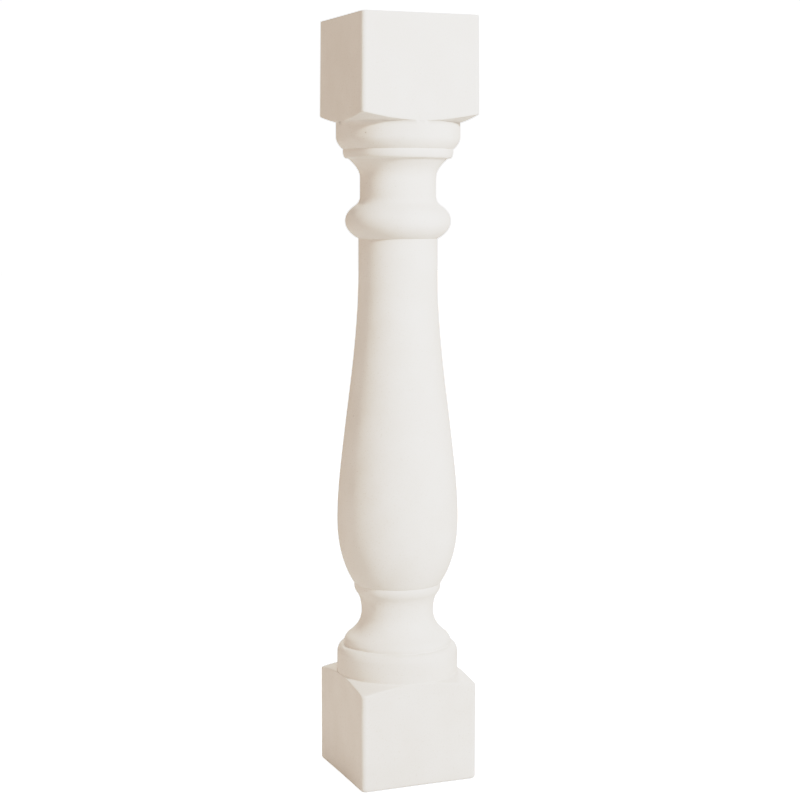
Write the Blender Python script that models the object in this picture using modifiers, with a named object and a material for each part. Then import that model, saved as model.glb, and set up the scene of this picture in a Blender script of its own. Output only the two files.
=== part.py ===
"""Cast concrete baluster: a square block at the foot, a square block at the head, turned work between.

It is one casting, made in a mould taken from a turned pattern, so it is modelled the way the pattern
was made. A square blank of the full height is turned down between its two blocks. The turning tool
leaves a sloping shoulder where each block begins, and the shoulder meets the flat faces of the block
in the shallow arches that can be seen on all four sides.

Metres, +Z up. The origin is the middle of the underside, and the flat faces look along X and Y.
Heights stack up from the foot: each moulding has its own height, and the whole is their sum.
"""

import math

import bmesh
import bpy
from mathutils.geometry import interpolate_bezier

# The two square blocks. Their heights are measured up the upright arrises.
BLOCK_WIDTH = 0.127
BASE_BLOCK_HEIGHT = 0.1005
TOP_BLOCK_HEIGHT = 0.0970
ARRIS_RADIUS = 0.005
SHOULDER_HEIGHT = 0.007

# The widest mouldings are turned until they just clear the blank's flat faces.
TURNING_CLEARANCE = 0.0003

# Base torus, rounded more at its top than at its foot, with a shallow quirk above it.
TORUS_HEIGHT = 0.0291
TORUS_TOP_DEPTH = 0.0065
TORUS_TOP_HEIGHT = 0.0100
TORUS_FOOT_DEPTH = 0.0007
TORUS_FOOT_HEIGHT = 0.0070
TORUS_QUIRK_HEIGHT = 0.0019
TORUS_QUIRK_RADIUS = 0.0559

# Bell, the swept foot of the lower neck.
BELL_RADIUS = 0.0562
BELL_HEIGHT = 0.0325

# Lower neck: the cove under the collar bead.
LOWER_NECK_RADIUS = 0.0378
LOWER_COVE_HEIGHT = 0.0205
LOWER_COVE_TOP_RADIUS = 0.0432

# Collar bead under the belly.
COLLAR_RADIUS = 0.0452
COLLAR_HEIGHT = 0.010
COLLAR_UPPER_DEPTH = 0.0015
COLLAR_LOWER_DEPTH = 0.0020

# Belly and the long taper of the vase.
BELLY_RADIUS = 0.0630
BELLY_FOOT_RADIUS = 0.0458
BELLY_LOWER_HEIGHT = 0.0672
VASE_TAPER_HEIGHT = 0.2550
SHAFT_RADIUS = 0.0407
SHAFT_HEIGHT = 0.0358

# Ring at the top of the shaft, and the cove that runs up from it.
RING_RADIUS = 0.0542
RING_LOWER_HEIGHT = 0.0172
RING_LOWER_RADIUS = 0.0422
RING_UPPER_HEIGHT = 0.0152
RING_UPPER_RADIUS = 0.0451
RING_COVE_HEIGHT = 0.0103

# Upper neck and the cavetto that carries the cap mouldings.
UPPER_NECK_RADIUS = 0.0390
UPPER_NECK_HEIGHT = 0.0184
CAVETTO_HEIGHT = 0.0192
CAVETTO_TOP_RADIUS = 0.0508
CAVETTO_CORNER_RADIUS = 0.0396

# Cap bead and the ovolo under the top block.
CAP_BEAD_RADIUS = 0.0565
CAP_BEAD_HEIGHT = 0.0095
CAP_BEAD_UPPER_DEPTH = 0.0006
CAP_BEAD_LOWER_DEPTH = 0.0032
OVOLO_HEIGHT = 0.0267
OVOLO_ROUNDING_HEIGHT = 0.0115
OVOLO_ROUNDING_DEPTH = 0.0065

# Shape of the swept curves, as shares of each curve's own height.
BELL_CURVE_SHARES = (0.42, 0.86)
BELL_TURN_SHARE = 0.74
VASE_PULL_SHARES = (0.35, 0.262)
BELLY_CORNER_SHARE = 0.60
COVE_CORNER_SHARE = 0.30
RING_CORNER_SHARE = 0.56
RING_COVE_CORNER_SHARE = 0.66
CAVETTO_CORNER_SHARE = 0.56
OVOLO_CORNER_SHARE = 0.45

# Fineness of the turned surface.
TURNING_STEPS = 56
MOULDING_SEGMENTS = 4
VASE_SEGMENTS = 11
BELLY_SEGMENTS = 7
ARRIS_SEGMENTS = 3
MERGE_DISTANCE = 0.0001
SMOOTH_ANGLE = math.radians(24)

# The conic weights of a quarter ellipse, of a parabola and of a tighter bend.
ELLIPSE = math.sqrt(0.5)
PARABOLA = 1.0
TIGHT = 1.5

# Concrete: off-white, matt.
CONCRETE_COLOUR = (0.80, 0.77, 0.72, 1.0)
CONCRETE_ROUGHNESS = 0.9


def bend(start, corner, end, fullness=ELLIPSE, segments=MOULDING_SEGMENTS):
    """Points of a conic arc that leaves start towards corner and reaches end coming from corner."""
    points = []
    for i in range(segments + 1):
        t = i / segments
        weights = ((1 - t) ** 2, 2 * fullness * t * (1 - t), t**2)
        total = sum(weights)
        points.append(
            tuple(
                sum(w * p[axis] for w, p in zip(weights, (start, corner, end))) / total
                for axis in (0, 1)
            )
        )
    return points


def bead(radius, top, bottom, upper_depth, lower_depth):
    """Points of a bead from its top down: it is fullest nearer to the end that is cut in less."""
    fullest = top + (bottom - top) * upper_depth / (upper_depth + lower_depth)
    upper = bend((radius - upper_depth, top), (radius, top), (radius, fullest), segments=2)
    lower = bend((radius, fullest), (radius, bottom), (radius - lower_depth, bottom), segments=3)
    return upper + lower[1:]


def swept(start, end, corner_shares, turn_share):
    """Points of an S-shaped sweep, upright at both ends, that turns over between its two corners."""
    run = end[1] - start[1]
    first = (start[0], start[1] + corner_shares[0] * run)
    second = (end[0], start[1] + corner_shares[1] * run)
    turn = tuple(a + turn_share * (b - a) for a, b in zip(first, second))
    return bend(start, first, turn, PARABOLA) + bend(turn, second, end, PARABOLA)[1:]


def upright_curve(start, end, pull_shares, segments):
    """Points of a long curve that is upright at both ends and pulled along by its two handles."""
    run = end[1] - start[1]
    handles = (
        (start[0], start[1] + pull_shares[0] * run),
        (end[0], end[1] - pull_shares[1] * run),
    )
    return [tuple(p) for p in interpolate_bezier(start, *handles, end, segments + 1)]


def levels():
    """Height above the foot of the top of each moulding, in the order in which they stand."""
    stack = {
        "base_block": BASE_BLOCK_HEIGHT,
        "base_shoulder": SHOULDER_HEIGHT,
        "torus": TORUS_HEIGHT,
        "torus_quirk": TORUS_QUIRK_HEIGHT,
        "bell": BELL_HEIGHT,
        "lower_cove": LOWER_COVE_HEIGHT,
        "collar": COLLAR_HEIGHT,
        "belly_lower": BELLY_LOWER_HEIGHT,
        "vase_taper": VASE_TAPER_HEIGHT,
        "shaft": SHAFT_HEIGHT,
        "ring_lower": RING_LOWER_HEIGHT,
        "ring_upper": RING_UPPER_HEIGHT,
        "ring_cove": RING_COVE_HEIGHT,
        "upper_neck": UPPER_NECK_HEIGHT,
        "cavetto": CAVETTO_HEIGHT,
        "cap_bead": CAP_BEAD_HEIGHT,
        "ovolo": OVOLO_HEIGHT,
        "top_shoulder": SHOULDER_HEIGHT,
        "top_block": TOP_BLOCK_HEIGHT,
    }
    tops, height = {}, 0.0
    for name, rise in stack.items():
        height += rise
        tops[name] = height
    return tops


def block_reach():
    """Radius of the widest turned work, at the flat faces, and of the blank, at its arrises."""
    half = BLOCK_WIDTH / 2
    arris_reach = half * math.sqrt(2) - ARRIS_RADIUS * (math.sqrt(2) - 1)
    return half - TURNING_CLEARANCE, arris_reach


def cap_profile(at):
    """Ovolo, bead and cavetto under the top block, down to the upper neck."""
    wide, _ = block_reach()
    return (
        bend(
            (wide, at["cap_bead"] + OVOLO_ROUNDING_HEIGHT),
            (wide, at["cap_bead"] + (1 - OVOLO_CORNER_SHARE) * OVOLO_ROUNDING_HEIGHT),
            (wide - OVOLO_ROUNDING_DEPTH, at["cap_bead"]),
            PARABOLA,
        )
        + bead(
            CAP_BEAD_RADIUS,
            at["cap_bead"],
            at["cavetto"],
            CAP_BEAD_UPPER_DEPTH,
            CAP_BEAD_LOWER_DEPTH,
        )
        + bend(
            (CAVETTO_TOP_RADIUS, at["cavetto"]),
            (CAVETTO_CORNER_RADIUS, at["cavetto"] - CAVETTO_CORNER_SHARE * CAVETTO_HEIGHT),
            (UPPER_NECK_RADIUS, at["upper_neck"]),
            TIGHT,
        )
    )


def ring_profile(at):
    """Cove and ring between the upper neck and the shaft."""
    return (
        bend(
            (UPPER_NECK_RADIUS, at["ring_cove"]),
            (UPPER_NECK_RADIUS, at["ring_cove"] - RING_COVE_CORNER_SHARE * RING_COVE_HEIGHT),
            (RING_UPPER_RADIUS, at["ring_upper"]),
            PARABOLA,
            segments=3,
        )
        + bend(
            (RING_UPPER_RADIUS, at["ring_upper"]),
            (RING_RADIUS, at["ring_lower"] + RING_CORNER_SHARE * RING_UPPER_HEIGHT),
            (RING_RADIUS, at["ring_lower"]),
            PARABOLA,
        )[1:]
        + bend(
            (RING_RADIUS, at["ring_lower"]),
            (RING_RADIUS, at["ring_lower"] - RING_CORNER_SHARE * RING_LOWER_HEIGHT),
            (RING_LOWER_RADIUS, at["shaft"]),
            PARABOLA,
        )[1:]
    )


def vase_profile(at):
    """Shaft, long taper and belly, down to the collar bead."""
    return (
        [(SHAFT_RADIUS, at["shaft"])]
        + upright_curve(
            (SHAFT_RADIUS, at["vase_taper"]),
            (BELLY_RADIUS, at["belly_lower"]),
            VASE_PULL_SHARES,
            VASE_SEGMENTS,
        )
        + bend(
            (BELLY_RADIUS, at["belly_lower"]),
            (BELLY_RADIUS, at["belly_lower"] - BELLY_CORNER_SHARE * BELLY_LOWER_HEIGHT),
            (BELLY_FOOT_RADIUS, at["collar"]),
            PARABOLA,
            segments=BELLY_SEGMENTS,
        )[1:]
    )


def foot_profile(at):
    """Collar bead, lower neck, bell and base torus, down to the shoulder of the base block."""
    wide, _ = block_reach()
    return (
        bead(
            COLLAR_RADIUS,
            at["collar"],
            at["lower_cove"],
            COLLAR_UPPER_DEPTH,
            COLLAR_LOWER_DEPTH,
        )
        + bend(
            (LOWER_COVE_TOP_RADIUS, at["lower_cove"]),
            (LOWER_NECK_RADIUS, at["lower_cove"] - COVE_CORNER_SHARE * LOWER_COVE_HEIGHT),
            (LOWER_NECK_RADIUS, at["bell"]),
            PARABOLA,
        )[1:]
        + swept(
            (LOWER_NECK_RADIUS, at["bell"]),
            (BELL_RADIUS, at["torus_quirk"]),
            BELL_CURVE_SHARES,
            BELL_TURN_SHARE,
        )[1:]
        + [(TORUS_QUIRK_RADIUS, at["torus_quirk"]), (TORUS_QUIRK_RADIUS, at["torus"])]
        + bend(
            (wide - TORUS_TOP_DEPTH, at["torus"]),
            (wide, at["torus"]),
            (wide, at["torus"] - TORUS_TOP_HEIGHT),
        )
        + bend(
            (wide, at["base_shoulder"] + TORUS_FOOT_HEIGHT),
            (wide, at["base_shoulder"]),
            (wide - TORUS_FOOT_DEPTH, at["base_shoulder"]),
            segments=2,
        )
    )


def shoulder(arris_height, face_height):
    """Sloping cut of a block: a straight line through both heights that runs on past the blank."""
    wide, arris_reach = block_reach()
    outside = 2 * arris_reach - wide
    return [(wide, face_height), (outside, 2 * arris_height - face_height)]


def turned_profile():
    """Outline of the turned work, (radius, height), running down its outer side from above the blank."""
    at = levels()
    overrun = SHOULDER_HEIGHT
    above, below = at["top_block"] + overrun, -overrun
    head = shoulder(at["top_shoulder"], at["ovolo"])
    foot = shoulder(at["base_block"], at["base_shoulder"])
    outline = [(0.0, above), (head[1][0], above)] + head[::-1]
    outline += cap_profile(at) + ring_profile(at) + vase_profile(at) + foot_profile(at)
    outline += foot + [(foot[1][0], below), (0.0, below)]
    kept = outline[:1]
    for point in outline[1:]:
        if math.dist(point, kept[-1]) > MERGE_DISTANCE:
            kept.append(point)
    return kept


def clear_scene():
    for obj in list(bpy.data.objects):
        bpy.data.objects.remove(obj, do_unlink=True)


def collection(name):
    made = bpy.data.collections.new(name)
    bpy.context.scene.collection.children.link(made)
    return made


def concrete():
    """Pale cast concrete."""
    material = bpy.data.materials.new("cast concrete")
    material.use_nodes = True
    shader = material.node_tree.nodes["Principled BSDF"]
    shader.inputs["Base Color"].default_value = CONCRETE_COLOUR
    shader.inputs["Roughness"].default_value = CONCRETE_ROUGHNESS
    shader.inputs["Metallic"].default_value = 0.0
    return material


def square_blank(helpers):
    """The square blank that the blocks are left from: full height, its upright arrises rounded."""
    height = levels()["top_block"]
    bm = bmesh.new()
    bmesh.ops.create_cube(bm, size=1.0)
    bmesh.ops.scale(bm, vec=(BLOCK_WIDTH, BLOCK_WIDTH, height), verts=bm.verts)
    bmesh.ops.translate(bm, vec=(0.0, 0.0, height / 2), verts=bm.verts)
    upright = [edge for edge in bm.edges if abs(edge.verts[0].co.z - edge.verts[1].co.z) > height / 2]
    bmesh.ops.bevel(
        bm,
        geom=upright,
        offset=ARRIS_RADIUS,
        segments=ARRIS_SEGMENTS,
        profile=0.5,
        affect="EDGES",
    )
    mesh = bpy.data.meshes.new("square blank")
    bm.to_mesh(mesh)
    bm.free()
    blank = bpy.data.objects.new("square_blank", mesh)
    blank.display_type = "WIRE"
    blank.hide_render = True
    helpers.objects.link(blank)
    return blank


def turned_baluster(parts, blank):
    """The casting: the turned outline spun about the axis, kept only where it lies inside the blank."""
    outline = turned_profile()
    mesh = bpy.data.meshes.new("baluster")
    links = [(i, i + 1) for i in range(len(outline) - 1)]
    mesh.from_pydata([(radius, 0.0, height) for radius, height in outline], links, [])
    baluster = bpy.data.objects.new("baluster", mesh)
    parts.objects.link(baluster)
    turning = baluster.modifiers.new("turning", "SCREW")
    turning.axis = "Z"
    turning.steps = TURNING_STEPS
    turning.render_steps = TURNING_STEPS
    turning.use_merge_vertices = True
    turning.merge_threshold = MERGE_DISTANCE
    blocks = baluster.modifiers.new("blocks", "BOOLEAN")
    blocks.operation = "INTERSECT"
    blocks.solver = "EXACT"
    blocks.object = blank
    return baluster


def settle(obj, material):
    """Makes the modifiers' result the object's own mesh, smooth in its curves and sharp at its edges."""
    bpy.context.view_layer.update()
    evaluated = obj.evaluated_get(bpy.context.evaluated_depsgraph_get())
    mesh = bpy.data.meshes.new_from_object(evaluated)
    obj.modifiers.clear()
    obj.data = mesh
    mesh.name = obj.name
    mesh.materials.clear()
    mesh.materials.append(material)
    mesh.shade_smooth()
    mesh.set_sharp_from_angle(angle=SMOOTH_ANGLE)


def main():
    clear_scene()
    parts = collection("concrete baluster")
    helpers = collection("cutters")
    blank = square_blank(helpers)
    baluster = turned_baluster(parts, blank)
    settle(baluster, concrete())


main()
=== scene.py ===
import math

import bpy
import numpy as np
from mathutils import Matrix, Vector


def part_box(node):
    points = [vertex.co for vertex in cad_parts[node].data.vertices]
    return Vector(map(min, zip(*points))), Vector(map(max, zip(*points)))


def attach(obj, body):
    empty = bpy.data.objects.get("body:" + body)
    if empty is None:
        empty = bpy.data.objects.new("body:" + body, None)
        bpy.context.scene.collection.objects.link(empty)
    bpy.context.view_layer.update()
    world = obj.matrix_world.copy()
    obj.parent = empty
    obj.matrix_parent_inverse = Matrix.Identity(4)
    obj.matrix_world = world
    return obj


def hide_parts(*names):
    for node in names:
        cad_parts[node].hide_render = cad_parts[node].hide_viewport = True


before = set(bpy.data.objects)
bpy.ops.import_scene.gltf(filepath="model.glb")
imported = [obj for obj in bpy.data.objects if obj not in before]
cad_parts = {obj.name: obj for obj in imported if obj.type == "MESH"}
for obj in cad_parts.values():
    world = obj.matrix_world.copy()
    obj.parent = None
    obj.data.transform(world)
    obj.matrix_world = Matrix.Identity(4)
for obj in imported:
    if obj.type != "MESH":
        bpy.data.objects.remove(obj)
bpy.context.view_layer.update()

# The camera
# A long lens a little above the middle of the baluster, looking slightly down. It stands to the left of
# the face that looks along -Y, so that face and a narrow strip of the -X face are seen.
PICTURE_WIDTH_PIXELS = 800
FILM_WIDTH = 36.0
FOCAL_LENGTH_PIXELS = 1735.0
CAMERA_DISTANCE = 1.7840
CAMERA_HEIGHT = 0.5984
CAMERA_ROUND = math.radians(22.05)
CAMERA_DOWN = math.radians(6.59)
CAMERA_ASIDE = math.radians(0.07)
CAMERA_ROLL = math.radians(-0.10)

lens = bpy.data.cameras.new("studio_camera")
lens.sensor_width = FILM_WIDTH
lens.lens = FOCAL_LENGTH_PIXELS / PICTURE_WIDTH_PIXELS * FILM_WIDTH
camera = bpy.data.objects.new("studio_camera", lens)
camera.location = (
    -CAMERA_DISTANCE * math.sin(CAMERA_ROUND),
    -CAMERA_DISTANCE * math.cos(CAMERA_ROUND),
    CAMERA_HEIGHT,
)
camera.rotation_euler = (math.radians(90) - CAMERA_DOWN, CAMERA_ROLL, -CAMERA_ROUND - CAMERA_ASIDE)
bpy.context.scene.collection.objects.link(camera)
bpy.context.scene.camera = camera

# The baluster
# One casting in white-cement concrete, with square blocks at foot and head and turned work between
# them. It comes out of its mould with soft edges and faces that are very slightly uneven.
foot_corner, head_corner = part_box("baluster")
HALF_WIDTH = (head_corner[0] - foot_corner[0]) / 2
FULL_HEIGHT = head_corner[2] - foot_corner[2]

# Heights of the mouldings, from the foot up. The top block takes what is left of the full height.
BASE_BLOCK_HEIGHT = 0.1005
SHOULDER_HEIGHT = 0.007
TORUS_HEIGHT = 0.0291
TORUS_QUIRK_HEIGHT = 0.0019
BELL_HEIGHT = 0.0325
LOWER_COVE_HEIGHT = 0.0205
COLLAR_HEIGHT = 0.010
BELLY_LOWER_HEIGHT = 0.0672
VASE_TAPER_HEIGHT = 0.2550
SHAFT_HEIGHT = 0.0358
RING_LOWER_HEIGHT = 0.0172
RING_UPPER_HEIGHT = 0.0152
RING_COVE_HEIGHT = 0.0103
UPPER_NECK_HEIGHT = 0.0184
CAVETTO_HEIGHT = 0.0192
CAP_BEAD_HEIGHT = 0.0095
OVOLO_HEIGHT = 0.0267

# Radii of the turned work, from the foot up.
WIDEST_RADIUS = HALF_WIDTH - 0.0001
TORUS_QUIRK_RADIUS = 0.0559
BELL_RADIUS = 0.0562
LOWER_NECK_RADIUS = 0.0378
LOWER_COVE_TOP_RADIUS = 0.0432
COLLAR_RADIUS = 0.0455
BELLY_FOOT_RADIUS = 0.0458
BELLY_RADIUS = 0.0630
SHAFT_RADIUS = 0.0407
RING_LOWER_RADIUS = 0.0422
RING_RADIUS = 0.0542
RING_UPPER_RADIUS = 0.0451
UPPER_NECK_RADIUS = 0.0390
CAVETTO_CORNER_RADIUS = 0.0396
CAVETTO_TOP_RADIUS = 0.0508
CAP_BEAD_RADIUS = 0.0565

# How far the rounded mouldings are cut in, and where they are fullest.
TORUS_TOP_ROUNDING = (0.0065, 0.0100)
TORUS_FOOT_ROUNDING = (0.0007, 0.0070)
COLLAR_CUTS = (0.0006, 0.0023)
COLLAR_FULLEST_SHARE = 0.25
CAP_BEAD_CUTS = (0.0006, 0.0032)
OVOLO_ROUNDING = (0.0065, 0.0115)

# Where the swept curves turn, as shares of each curve's own height.
BELL_CURVE_SHARES = (0.42, 0.86)
BELL_TURN_SHARE = 0.74
VASE_PULL_SHARES = (0.35, 0.262)
BELLY_CORNER_SHARE = 0.60
COLLAR_CORNER_SHARE = 0.35
COVE_CORNER_SHARE = 0.30
RING_CORNER_SHARE = 0.56
RING_COVE_CORNER_SHARE = 0.66
OVOLO_CORNER_SHARE = 0.45
CAVETTO_CORNER_SHARE = 0.56
CAVETTO_FULLNESS = 1.5

# The blocks: upright arrises, the softer edges round their ends, the draft of the top block, and where
# the rings of points lie on each end face, as shares of the way out.
ARRIS_RADIUS = 0.005
FOOT_EDGE_RADIUS = 0.0028
HEAD_EDGE_RADIUS = 0.0010
SHOULDER_EDGE_RADIUS = 0.0012
TOP_BLOCK_FOOT_SET_IN = 0.0002
TOP_BLOCK_HEAD_SET_IN = 0.0009
END_FACE_RINGS = (0.985, 0.7, 0.35)

# How much the mould softens every edge of the turned work, and how uneven the faces are.
CAST_SOFTNESS = 0.0008
UNEVENNESS = 0.00022
UNEVEN_WAVELENGTH = 0.055
UNEVEN_WAVES = 7

ELLIPSE = math.sqrt(0.5)
PARABOLA = 1.0


def bend(start, corner, end, fullness=ELLIPSE, steps=24):
    """An arc that leaves start towards corner and reaches end coming from corner.

    With t from 0 to 1, each point is the mean of start, corner and end, weighted by the square of 1 - t,
    by 2 t (1 - t) times fullness, and by the square of t. The three may be points or rows of points.
    """
    start, corner, end = (np.asarray(point, float) for point in (start, corner, end))
    t = np.linspace(0, 1, steps + 1).reshape((-1,) + (1,) * start.ndim)
    weights = ((1 - t) ** 2, 2 * fullness * t * (1 - t), t**2)
    return (weights[0] * start + weights[1] * corner + weights[2] * end) / sum(weights)


def bead(radius, top, bottom, cuts):
    """Two quarter ellipses that meet at full radius, nearer to the end that is cut in less."""
    fullest = top + (bottom - top) * cuts[0] / sum(cuts)
    upper = bend((radius - cuts[0], top), (radius, top), (radius, fullest))
    lower = bend((radius, fullest), (radius, bottom), (radius - cuts[1], bottom))
    return np.vstack((upper, lower))


def sweep(start, end, corner_shares, turn_share):
    """Two parabolas that make an S, upright at both ends, meeting on the line between their corners."""
    run = end[1] - start[1]
    first = np.array((start[0], start[1] + corner_shares[0] * run))
    second = np.array((end[0], start[1] + corner_shares[1] * run))
    turn = first + turn_share * (second - first)
    return np.vstack((bend(start, first, turn, PARABOLA), bend(turn, second, end, PARABOLA)))


def long_curve(start, end, pull_shares, steps=120):
    """The cubic curve of a lath held upright at both ends: weights (1-t)^3, 3t(1-t)^2, 3t^2(1-t), t^3."""
    run = end[1] - start[1]
    t = np.linspace(0, 1, steps + 1)[:, None]
    upper_pull = np.array((start[0], start[1] + pull_shares[0] * run))
    lower_pull = np.array((end[0], end[1] - pull_shares[1] * run))
    return (
        (1 - t) ** 3 * np.array(start)
        + 3 * t * (1 - t) ** 2 * upper_pull
        + 3 * t**2 * (1 - t) * lower_pull
        + t**3 * np.array(end)
    )


# The outline of the turned work as (radius, height), running down from the top block to the base block.
shoulder_level = BASE_BLOCK_HEIGHT + SHOULDER_HEIGHT
torus_level = shoulder_level + TORUS_HEIGHT
quirk_level = torus_level + TORUS_QUIRK_HEIGHT
bell_level = quirk_level + BELL_HEIGHT
lower_cove_level = bell_level + LOWER_COVE_HEIGHT
collar_level = lower_cove_level + COLLAR_HEIGHT
belly_level = collar_level + BELLY_LOWER_HEIGHT
taper_level = belly_level + VASE_TAPER_HEIGHT
shaft_level = taper_level + SHAFT_HEIGHT
ring_level = shaft_level + RING_LOWER_HEIGHT
ring_top_level = ring_level + RING_UPPER_HEIGHT
ring_cove_level = ring_top_level + RING_COVE_HEIGHT
neck_level = ring_cove_level + UPPER_NECK_HEIGHT
cavetto_level = neck_level + CAVETTO_HEIGHT
cap_bead_level = cavetto_level + CAP_BEAD_HEIGHT
ovolo_level = cap_bead_level + OVOLO_HEIGHT

turned_outline = np.vstack((
    (WIDEST_RADIUS, ovolo_level),
    bend(
        (WIDEST_RADIUS, cap_bead_level + OVOLO_ROUNDING[1]),
        (WIDEST_RADIUS, cap_bead_level + (1 - OVOLO_CORNER_SHARE) * OVOLO_ROUNDING[1]),
        (WIDEST_RADIUS - OVOLO_ROUNDING[0], cap_bead_level),
        PARABOLA,
    ),
    bead(CAP_BEAD_RADIUS, cap_bead_level, cavetto_level, CAP_BEAD_CUTS),
    bend(
        (CAVETTO_TOP_RADIUS, cavetto_level),
        (CAVETTO_CORNER_RADIUS, cavetto_level - CAVETTO_CORNER_SHARE * CAVETTO_HEIGHT),
        (UPPER_NECK_RADIUS, neck_level),
        CAVETTO_FULLNESS,
    ),
    bend(
        (UPPER_NECK_RADIUS, ring_cove_level),
        (UPPER_NECK_RADIUS, ring_cove_level - RING_COVE_CORNER_SHARE * RING_COVE_HEIGHT),
        (RING_UPPER_RADIUS, ring_top_level),
        PARABOLA,
    ),
    bend(
        (RING_UPPER_RADIUS, ring_top_level),
        (RING_RADIUS, ring_level + RING_CORNER_SHARE * RING_UPPER_HEIGHT),
        (RING_RADIUS, ring_level),
        PARABOLA,
    ),
    bend(
        (RING_RADIUS, ring_level),
        (RING_RADIUS, ring_level - RING_CORNER_SHARE * RING_LOWER_HEIGHT),
        (RING_LOWER_RADIUS, shaft_level),
        PARABOLA,
    ),
    (SHAFT_RADIUS, shaft_level),
    long_curve((SHAFT_RADIUS, taper_level), (BELLY_RADIUS, belly_level), VASE_PULL_SHARES),
    bend(
        (BELLY_RADIUS, belly_level),
        (BELLY_RADIUS, belly_level - BELLY_CORNER_SHARE * BELLY_LOWER_HEIGHT),
        (BELLY_FOOT_RADIUS, collar_level),
        PARABOLA,
    ),
    bend(
        (COLLAR_RADIUS - COLLAR_CUTS[0], collar_level),
        (COLLAR_RADIUS, collar_level),
        (COLLAR_RADIUS, collar_level - COLLAR_FULLEST_SHARE * COLLAR_HEIGHT),
    ),
    bend(
        (COLLAR_RADIUS, collar_level - COLLAR_FULLEST_SHARE * COLLAR_HEIGHT),
        (COLLAR_RADIUS, lower_cove_level + COLLAR_CORNER_SHARE * COLLAR_HEIGHT),
        (COLLAR_RADIUS - COLLAR_CUTS[1], lower_cove_level),
        PARABOLA,
    ),
    bend(
        (LOWER_COVE_TOP_RADIUS, lower_cove_level),
        (LOWER_NECK_RADIUS, lower_cove_level - COVE_CORNER_SHARE * LOWER_COVE_HEIGHT),
        (LOWER_NECK_RADIUS, bell_level),
        PARABOLA,
    ),
    sweep((LOWER_NECK_RADIUS, bell_level), (BELL_RADIUS, quirk_level), BELL_CURVE_SHARES, BELL_TURN_SHARE),
    (TORUS_QUIRK_RADIUS, quirk_level),
    (TORUS_QUIRK_RADIUS, torus_level),
    bend(
        (WIDEST_RADIUS - TORUS_TOP_ROUNDING[0], torus_level),
        (WIDEST_RADIUS, torus_level),
        (WIDEST_RADIUS, torus_level - TORUS_TOP_ROUNDING[1]),
    ),
    bend(
        (WIDEST_RADIUS, shoulder_level + TORUS_FOOT_ROUNDING[1]),
        (WIDEST_RADIUS, shoulder_level),
        (WIDEST_RADIUS - TORUS_FOOT_ROUNDING[0], shoulder_level),
    ),
    (WIDEST_RADIUS, shoulder_level),
))


def softened(outline, reach, step=0.00005):
    """The outline at even steps, each point the mean of its neighbours weighted by a bell curve."""
    lengths = np.hypot(*np.diff(outline, axis=0).T)
    outline = outline[np.append(True, lengths > 0)]
    along = np.append(0, np.cumsum(lengths[lengths > 0]))
    even = np.arange(0, along[-1], step)
    fine = np.column_stack([np.interp(even, along, values) for values in outline.T])
    span = int(4 * reach / step)
    bell = np.exp(-0.5 * (np.arange(-span, span + 1) * step / reach) ** 2)
    before = 2 * fine[0] - fine[span:0:-1]
    after = 2 * fine[-1] - fine[-2 : -2 - span : -1]
    padded = np.vstack((before, fine, after))
    return np.column_stack([np.convolve(values, bell / bell.sum(), "valid") for values in padded.T])


def spaced_by_bend(outline, rows, longest=0.006, sharpest=math.radians(9)):
    """The outline at `rows` points that share its cost evenly: cost is length / longest + turn / sharpest."""
    steps = np.diff(outline, axis=0)
    heading = np.unwrap(np.arctan2(steps[:, 1], steps[:, 0]))
    turn = np.append(0, np.abs(np.diff(heading)))
    cost = np.append(0, np.cumsum(np.hypot(*steps.T) / longest + turn / sharpest))
    wanted = np.linspace(0, cost[-1], rows)
    return np.column_stack([np.interp(wanted, cost, values) for values in outline.T])


def directions_round(half, arris, along_face=56, round_arris=8):
    """Angles round the axis, closer together towards the arrises and evenly spaced round each arris."""
    flat = half - arris
    u = np.linspace(-1, 1, along_face)
    across = flat * (0.2 * u + 0.8 * np.sin(math.pi / 2 * u))
    on_face = np.arctan2(across, half)
    swing = np.linspace(0, math.pi / 2, round_arris + 2)[1:-1]
    on_arris = np.arctan2(flat + arris * np.sin(swing), flat + arris * np.cos(swing))
    quarter = np.concatenate((on_face, on_arris))
    return np.concatenate([quarter + side * math.pi / 2 for side in range(4)])


def square_reach(half, arris, angles):
    """Distance from the axis to a square with rounded corners.

    Towards a face it is half the width over the cosine of the angle from the face's own direction.
    Towards a corner it is where that line meets the circle of the arris.
    """
    from_face = np.abs((angles + math.pi / 4) % (math.pi / 2) - math.pi / 4)
    flat = half - arris
    along = flat * (np.cos(from_face) + np.sin(from_face))
    inside = np.maximum(arris**2 - 2 * flat**2 + along**2, 0)
    on_face = half * np.tan(from_face) <= flat
    return np.where(on_face, half / np.cos(from_face), along + np.sqrt(inside))


angles = directions_round(HALF_WIDTH, ARRIS_RADIUS)
arris_reach = HALF_WIDTH * math.sqrt(2) - ARRIS_RADIUS * (math.sqrt(2) - 1)
shoulder_slope = SHOULDER_HEIGHT / (arris_reach - WIDEST_RADIUS)


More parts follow.
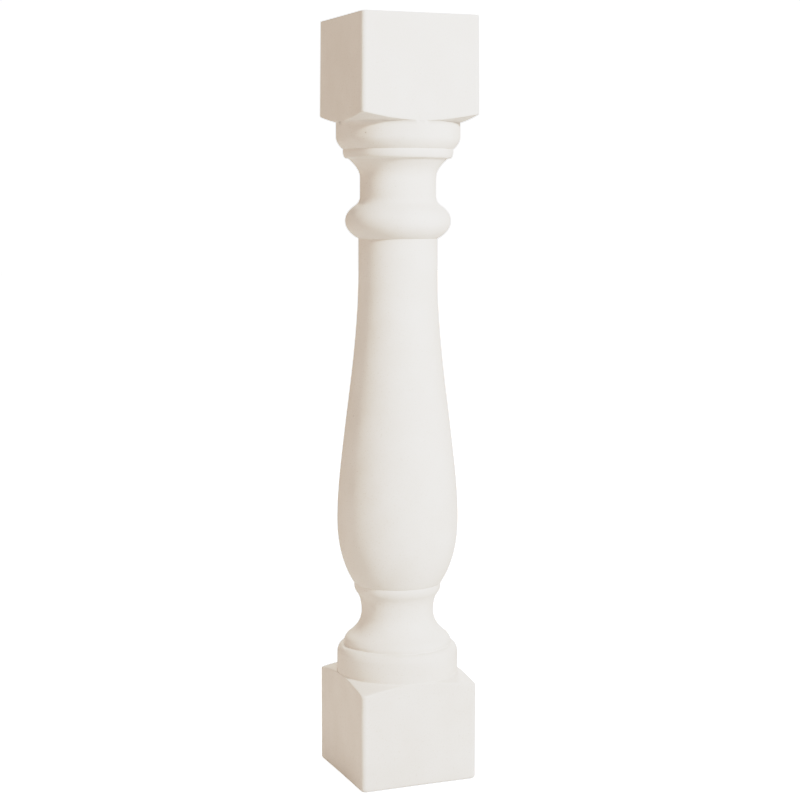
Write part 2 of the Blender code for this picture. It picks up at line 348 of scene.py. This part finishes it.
def block_rows(set_in_at_shoulder, set_in_at_end, face_level, end_level, end_radius, wall_rows=14):
    """Rows of (radius, height) from the turned work out over the shoulder and along the block's wall.

    In each direction the shoulder is a straight slope from the widest turned radius to the square, the
    wall runs from there to the end face, and an arc rounds each of the two edges. The last rows close
    the end face towards the axis.
    """
    way = math.copysign(1.0, end_level - face_level)
    reach = square_reach(HALF_WIDTH - set_in_at_shoulder, ARRIS_RADIUS, angles)
    end_reach = square_reach(HALF_WIDTH - set_in_at_end, ARRIS_RADIUS, angles)
    slope_run = reach - WIDEST_RADIUS
    edge_level = face_level + way * shoulder_slope * slope_run
    cut = np.minimum(SHOULDER_EDGE_RADIUS, slope_run / 2)
    widest = np.full_like(reach, WIDEST_RADIUS)
    slope_end = np.stack((reach - cut, edge_level - way * shoulder_slope * cut))
    wall_start = np.stack((reach, edge_level + way * SHOULDER_EDGE_RADIUS))
    wall_end = np.stack((end_reach, np.full_like(reach, end_level - way * end_radius)))
    share = np.linspace(0, 1, 6)[1:-1, None, None]
    slope = np.stack((widest, np.full_like(reach, face_level)))
    slope = slope + share * (slope_end - slope)
    shoulder_edge = bend(slope_end, np.stack((reach, edge_level)), wall_start, steps=4)
    u = np.linspace(-1, 1, wall_rows + 2)[1:-1, None, None]
    share = 0.5 + 0.5 * (0.3 * u + 0.7 * np.sin(math.pi / 2 * u))
    wall = wall_start + share * (wall_end - wall_start)
    end_edge = bend(
        wall_end,
        np.stack((end_reach, np.full_like(reach, end_level))),
        np.stack((end_reach - end_radius, np.full_like(reach, end_level))),
        steps=5,
    )
    share = np.array(END_FACE_RINGS)[:, None, None]
    end_face = np.concatenate((share * end_edge[-1:, :1], np.full((3, 1, reach.size), end_level)), 1)
    return np.concatenate((slope, shoulder_edge, wall, end_edge, end_face))


TURNED_ROWS = 292
turned = spaced_by_bend(softened(turned_outline, CAST_SOFTNESS), TURNED_ROWS)
turned_rows = np.repeat(turned[:, :, None], angles.size, axis=2)
head_rows = block_rows(
    TOP_BLOCK_FOOT_SET_IN, TOP_BLOCK_HEAD_SET_IN, ovolo_level, FULL_HEIGHT, HEAD_EDGE_RADIUS
)
base_rows = block_rows(0.0, 0.0, shoulder_level, 0.0, FOOT_EDGE_RADIUS)
rows = np.concatenate((head_rows[::-1], turned_rows, base_rows))
radius, height = rows[:, 0], rows[:, 1]


def unevenness(x, y, z, seed=11):
    """Slow waves through space: the mean of several sines, each along its own direction, from 0 to 1."""
    draw = np.random.default_rng(seed)
    ways = draw.normal(size=(UNEVEN_WAVES, 3))
    ways /= np.linalg.norm(ways, axis=1, keepdims=True)
    waves = 2 * math.pi / (UNEVEN_WAVELENGTH * draw.uniform(0.7, 1.6, UNEVEN_WAVES))
    starts = draw.uniform(0, 2 * math.pi, UNEVEN_WAVES)
    place = np.stack((x, y, z))
    total = sum(
        np.sin(wave * np.tensordot(way, place, 1) + start) for way, wave, start in zip(ways, waves, starts)
    )
    return 0.5 + 0.5 * total / UNEVEN_WAVES


x, y = radius * np.cos(angles), radius * np.sin(angles)
worn = 1 - UNEVENNESS * unevenness(x, y, height) / radius
points = np.stack((x * worn, y * worn, height), axis=-1).reshape(-1, 3)
points = np.vstack((points, (0.0, 0.0, FULL_HEIGHT), (0.0, 0.0, 0.0)))

row_count, column_count = radius.shape
column = np.arange(column_count)
following = np.roll(column, -1)
start = np.arange(row_count - 1)[:, None] * column_count
faces = np.stack(
    (start + column, start + column_count + column, start + column_count + following, start + following),
    axis=-1,
).reshape(-1, 4)
head_middle, foot_middle = len(points) - 2, len(points) - 1
last = (row_count - 1) * column_count
head_fan = np.stack((np.full_like(column, head_middle), column, following), axis=-1)
foot_fan = np.stack((np.full_like(column, foot_middle), last + following, last + column), axis=-1)

casting_mesh = bpy.data.meshes.new("cast_baluster")
casting_mesh.from_pydata(points.tolist(), [], faces.tolist() + head_fan.tolist() + foot_fan.tolist())
casting_mesh.shade_smooth()
casting = bpy.data.objects.new("cast_baluster", casting_mesh)
bpy.context.scene.collection.objects.link(casting)

# Pale cement with faint clouds, darker grains of sand at the skin, and a few small air holes, which are
# coloured darker inside as painted shade. The paste is a shade smoother in the paler clouds.
PALE_CEMENT = (0.815, 0.792, 0.755, 1.0)
DULL_CEMENT = (0.785, 0.758, 0.715, 1.0)
FINE_SAND = (0.66, 0.62, 0.555, 1.0)
# painted shade: the colour inside the air holes, darker to stand in for the shade that falls in them
AIR_HOLE_PAINTED_SHADE = (0.55, 0.52, 0.47, 1.0)
SHINE = 0.25
PALE_ROUGHNESS = 0.86
DULL_ROUGHNESS = 0.94
CLOUD_SIZE = 0.045
CLOUD_SPAN = (0.36, 0.64)
SAND_SPACING = 0.0016
SAND_PROUD = 0.00005
DARK_SAND_SPAN = (0.60, 0.74)
DARK_SAND_STRENGTH = 0.55
RIPPLE_SIZE = 0.012
RIPPLE_HEIGHT = 0.00012
AIR_HOLE_SPACING = 0.016
AIR_HOLE_RADIUS = 0.00055
AIR_HOLE_DEPTH = 0.0005
AIR_HOLE_EDGE = 0.3
SHARE_WITHOUT_HOLES = 0.6

concrete = bpy.data.materials.new("white_cement_concrete")
concrete.use_nodes = True
nodes, links = concrete.node_tree.nodes, concrete.node_tree.links
shader = nodes["Principled BSDF"]
shader.inputs["Specular IOR Level"].default_value = SHINE
place = nodes.new("ShaderNodeTexCoord")


def soft_noise(size, detail, roughness=0.5):
    """Cloudy noise through the casting, from 0 to 1, whose patches are about size metres across."""
    noise = nodes.new("ShaderNodeTexNoise")
    noise.inputs["Scale"].default_value = 1 / size
    noise.inputs["Detail"].default_value = detail
    noise.inputs["Roughness"].default_value = roughness
    links.new(place.outputs["Object"], noise.inputs["Vector"])
    return noise.outputs["Fac"]


def spread(value, low, high, to_low=0.0, to_high=1.0):
    """The value carried in a straight line from low..high to to_low..to_high, and held level beyond."""
    carried = nodes.new("ShaderNodeMapRange")
    for name, number in zip(("From Min", "From Max", "To Min", "To Max"), (low, high, to_low, to_high)):
        carried.inputs[name].default_value = number
    links.new(value, carried.inputs["Value"])
    return carried.outputs["Result"]


def combined(operation, first, second):
    """What the operation makes of two values, the second of which may be a plain number."""
    worked = nodes.new("ShaderNodeMath")
    worked.operation = operation
    links.new(first, worked.inputs[0])
    if isinstance(second, float):
        worked.inputs[1].default_value = second
    else:
        links.new(second, worked.inputs[1])
    return worked.outputs["Value"]


def coloured(share, under, over):
    """The colour `under` turning to `over` by share; each is a fixed colour or comes from another node."""
    mix = nodes.new("ShaderNodeMix")
    mix.data_type = "RGBA"
    links.new(share, mix.inputs["Factor"])
    for socket, colour in ((mix.inputs[6], under), (mix.inputs[7], over)):
        if isinstance(colour, tuple):
            socket.default_value = colour
        else:
            links.new(colour, socket)
    return mix.outputs[2]


clouds = spread(soft_noise(CLOUD_SIZE, 3.0), *CLOUD_SPAN)
grain = soft_noise(SAND_SPACING, 2.0, 0.6)
dark_sand = spread(grain, *DARK_SAND_SPAN, 0.0, DARK_SAND_STRENGTH)

cells = nodes.new("ShaderNodeTexVoronoi")
cells.inputs["Scale"].default_value = 1 / AIR_HOLE_SPACING
links.new(place.outputs["Object"], cells.inputs["Vector"])
hole_size = AIR_HOLE_RADIUS / AIR_HOLE_SPACING
inner, outer = (1 - AIR_HOLE_EDGE) * hole_size, (1 + AIR_HOLE_EDGE) * hole_size
in_hole = spread(cells.outputs["Distance"], inner, outer, 1.0, 0.0)
cell_draw = nodes.new("ShaderNodeSeparateColor")
links.new(cells.outputs["Color"], cell_draw.inputs["Color"])
few = combined("GREATER_THAN", cell_draw.outputs["Red"], SHARE_WITHOUT_HOLES)
air_holes = combined("MULTIPLY", in_hole, few)

colour = coloured(clouds, DULL_CEMENT, PALE_CEMENT)
colour = coloured(dark_sand, colour, FINE_SAND)
# Painted shade: the air holes take a darker colour in place of the shade inside them.
colour = coloured(air_holes, colour, AIR_HOLE_PAINTED_SHADE)
links.new(colour, shader.inputs["Base Color"])
links.new(spread(clouds, 0.0, 1.0, DULL_ROUGHNESS, PALE_ROUGHNESS), shader.inputs["Roughness"])

# The skin is rough to the touch: sand a twentieth of a millimetre proud, slow ripples, and the air holes.
ripples = soft_noise(RIPPLE_SIZE, 2.0)
skin_height = combined("MULTIPLY", grain, SAND_PROUD)
skin_height = combined("ADD", skin_height, combined("MULTIPLY", ripples, RIPPLE_HEIGHT))
skin_height = combined("SUBTRACT", skin_height, combined("MULTIPLY", air_holes, AIR_HOLE_DEPTH))
skin = nodes.new("ShaderNodeBump")
skin.inputs["Distance"].default_value = 1.0
links.new(skin_height, skin.inputs["Height"])
links.new(skin.outputs["Normal"], shader.inputs["Normal"])
casting_mesh.materials.append(concrete)

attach(casting, "root")
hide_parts("baluster")

# The floor and the backdrop
# White paper under and behind the baluster. The camera sees it as plain white, and the sheet under the
# foot gives back about three quarters of the light that falls on it.
FLOOR_REACH = 12.0
PAPER_REFLECTS = (0.76, 0.76, 0.76, 1.0)
PAPER_SHOWS = 1.45

floor_mesh = bpy.data.meshes.new("paper_floor")
floor_mesh.from_pydata(
    [
        (-FLOOR_REACH, -FLOOR_REACH, 0.0),
        (FLOOR_REACH, -FLOOR_REACH, 0.0),
        (FLOOR_REACH, FLOOR_REACH, 0.0),
        (-FLOOR_REACH, FLOOR_REACH, 0.0),
    ],
    [],
    [(0, 1, 2, 3)],
)
floor = bpy.data.objects.new("paper_floor", floor_mesh)
bpy.context.scene.collection.objects.link(floor)
paper = bpy.data.materials.new("white_paper")
paper.use_nodes = True
paper_nodes, paper_links = paper.node_tree.nodes, paper.node_tree.links
paper_nodes.clear()
sheet = paper_nodes.new("ShaderNodeBsdfDiffuse")
sheet.inputs["Color"].default_value = PAPER_REFLECTS
glow = paper_nodes.new("ShaderNodeEmission")
ray = paper_nodes.new("ShaderNodeLightPath")
seen = paper_nodes.new("ShaderNodeMath")
seen.operation = "MULTIPLY"
seen.inputs[1].default_value = PAPER_SHOWS
both = paper_nodes.new("ShaderNodeAddShader")
paper_out = paper_nodes.new("ShaderNodeOutputMaterial")
paper_links.new(ray.outputs["Is Camera Ray"], seen.inputs[0])
paper_links.new(seen.outputs["Value"], glow.inputs["Strength"])
paper_links.new(sheet.outputs["BSDF"], both.inputs[0])
paper_links.new(glow.outputs["Emission"], both.inputs[1])
paper_links.new(both.outputs["Shader"], paper_out.inputs["Surface"])
floor_mesh.materials.append(paper)

# The lights
# A small hard lamp to the right of the camera makes the clean edge of the shade, and the room's own light
# is warm. Wide soft lamps above and to the left fill the shade, and one behind gives the back its shape.
ROOM_COLOUR = (0.435, 0.37, 0.30, 1.0)
BACKDROP_SHOWS = (1.62, 1.62, 1.62, 1.0)
LAMP_DISTANCE = 2.6
LAMPS = {
    # name: degrees to the right of the camera, degrees up, width, watts of red, green and blue
    "key_lamp": (43, 26, 0.15, (54.0, 54.0, 54.0)),
    "high_lamp": (10, 50, 1.2, (7.0, 9.0, 11.0)),
    "left_lamp": (-80, 5, 1.2, (10.5, 8.0, 6.5)),
    "back_lamp": (180, 30, 0.4, (34.0, 34.0, 34.0)),
}
lit_middle = np.array((0.0, 0.0, 0.42))
toward_camera = np.array((-math.sin(CAMERA_ROUND), -math.cos(CAMERA_ROUND), 0.0))
to_the_right = np.array((math.cos(CAMERA_ROUND), -math.sin(CAMERA_ROUND), 0.0))
for name, (aside, up, width, watts) in LAMPS.items():
    aside, up = math.radians(aside), math.radians(up)
    level = math.cos(aside) * toward_camera + math.sin(aside) * to_the_right
    way = math.cos(up) * level + np.array((0.0, 0.0, math.sin(up)))
    lamp = bpy.data.lights.new(name, "AREA")
    lamp.size = width
    lamp.energy = max(watts)
    lamp.color = [share / max(watts) for share in watts]
    holder = bpy.data.objects.new(name, lamp)
    holder.location = lit_middle + LAMP_DISTANCE * way
    holder.rotation_euler = (math.radians(90) - up, 0.0, aside - CAMERA_ROUND)
    bpy.context.scene.collection.objects.link(holder)

studio = bpy.data.worlds.new("studio")
bpy.context.scene.world = studio
studio.use_nodes = True
world_nodes, world_links = studio.node_tree.nodes, studio.node_tree.links
room = world_nodes["Background"]
room.inputs["Color"].default_value = ROOM_COLOUR
backdrop = world_nodes.new("ShaderNodeBackground")
backdrop.inputs["Color"].default_value = BACKDROP_SHOWS
world_ray = world_nodes.new("ShaderNodeLightPath")
either = world_nodes.new("ShaderNodeMixShader")
world_links.new(world_ray.outputs["Is Camera Ray"], either.inputs["Fac"])
world_links.new(room.outputs["Background"], either.inputs[1])
world_links.new(backdrop.outputs["Background"], either.inputs[2])
world_links.new(either.outputs["Shader"], world_nodes["World Output"].inputs["Surface"])

# The exposure
# The lit side is exposed almost to white. Up to the knee a tone keeps its value, above it the tones crowd
# together by knee + reach (1 - e^(-(tone - knee) / reach)), and the paper behind is plain white.
KNEE = 0.56
REACH = 0.35
BRIGHTEST_CONCRETE = 1.35
PAPER_WHITE = 1.6
TONE_STEPS = 14
exposure = bpy.context.scene.view_settings
exposure.view_transform = "Standard"
exposure.use_curve_mapping = True
exposure.curve_mapping.white_level = (PAPER_WHITE,) * 3
tones = np.linspace(KNEE, BRIGHTEST_CONCRETE, TONE_STEPS)
shown = KNEE + REACH * (1 - np.exp((KNEE - tones) / REACH))
curve = exposure.curve_mapping.curves[3]
for tone, value in zip(tones, shown):
    curve.points.new(tone / PAPER_WHITE, value)
for point in curve.points:
    point.handle_type = "VECTOR"
exposure.curve_mapping.update()
